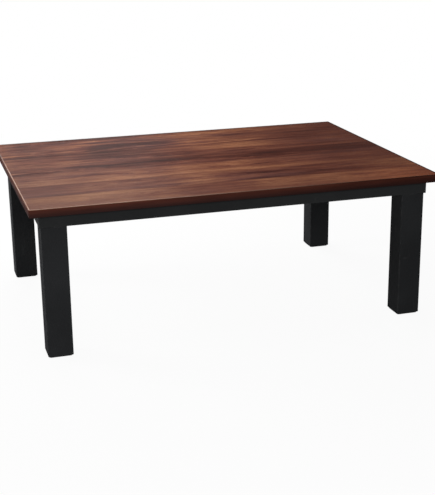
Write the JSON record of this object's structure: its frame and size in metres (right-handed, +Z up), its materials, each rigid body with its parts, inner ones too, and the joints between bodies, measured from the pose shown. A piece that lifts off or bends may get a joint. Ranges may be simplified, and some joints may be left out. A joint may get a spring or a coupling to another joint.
{
  "type": "kotatsu table",
  "caption": "Low heated table: loose walnut-print board on a black jointed frame with square bolt-on legs and an electric heater hung under its middle.",
  "frame": {"origin": "on the floor, under the middle of the board", "axes": "+X along the table's long side, -Y towards its front long side, +Z up"},
  "size_m": [1.05, 0.75, 0.385],
  "materials": {
    "walnut_print": "printed walnut grain, satin",
    "particle_board": "pressed particle board",
    "backer_sheet": "resin-soaked paper sheet, plain",
    "edge_band": "dark red-brown wood print, satin",
    "black_wood": "black paint with faint grain, satin",
    "bare_wood": "planed hardwood, not painted",
    "zinc_steel": "bright zinc plate",
    "pad_rubber": "matte",
    "glide_plastic": "matte",
    "casing_steel": "galvanised sheet",
    "insulation": "pressed mineral fibre sheet",
    "reflector_metal": "bright rolled",
    "quartz": "clear quartz",
    "element_wire": "oxidised resistance wire",
    "ceramic": "unglazed steatite",
    "spring_steel": "plain strip",
    "guard_black": "heat-proof black paint",
    "thermostat_resin": "moulded resin",
    "fuse_case": "drawn case",
    "terminal_plastic": "moulded",
    "inlet_plastic": "moulded",
    "brass": "turned",
    "lead_sleeve": "heat-proof silicone sleeve"
  },
  "bodies": {
    "table_frame": {"apron_front": "black_wood", "apron_rear": "black_wood", "apron_left": "black_wood", "apron_right": "black_wood", "leg_front_left": "black_wood", "leg_front_right": "black_wood", "leg_rear_left": "black_wood", "leg_rear_right": "black_wood", "corner_block_front_left": "bare_wood", "corner_block_front_right": "bare_wood", "corner_block_rear_left": "bare_wood", "corner_block_rear_right": "bare_wood", "crossbar_left": "bare_wood", "crossbar_right": "bare_wood", "batten_front": "bare_wood", "batten_rear": "bare_wood", "corner_block_dowels": "bare_wood", "crossbar_dowels": "bare_wood", "batten_dowels": "bare_wood", "leg_hanger_bolts": "zinc_steel", "leg_washers": "zinc_steel", "leg_nuts": "zinc_steel", "heater_hanging_screws": "zinc_steel", "heater_hanging_washers": "zinc_steel", "guard_screws": "zinc_steel", "non_slip_pads": "pad_rubber", "floor_glides": "glide_plastic", "heater_top_plate": "casing_steel", "heater_wall_left": "casing_steel", "heater_wall_right": "casing_steel", "heater_wall_front": "casing_steel", "heater_wall_rear": "casing_steel", "wiring_bulkhead": "casing_steel", "insulation_sheet": "insulation", "reflector": "reflector_metal", "heater_tube": "quartz", "heating_element": "element_wire", "ceramic_end_caps": "ceramic", "tube_clips": "spring_steel", "fuse_saddle": "spring_steel", "guard_grille": "guard_black", "thermostat": "thermostat_resin", "thermal_fuse": "fuse_case", "terminal_block": "terminal_plastic", "inlet_body": "inlet_plastic", "inlet_pins": "brass", "element_pins": "brass", "internal_leads": "lead_sleeve"},
    "top_board": {"board_surface_sheet": "walnut_print", "board_core": "particle_board", "board_backer_sheet": "backer_sheet", "edge_band_front": "edge_band", "edge_band_rear": "edge_band", "edge_band_left": "edge_band", "edge_band_right": "edge_band"}
  },
  "joints": [
    {"name": "top_board_lift", "type": "slide", "parent": "table_frame", "child": "top_board", "axis": [0, 0, 1], "range_m": [0, 0.15]}
  ]
}
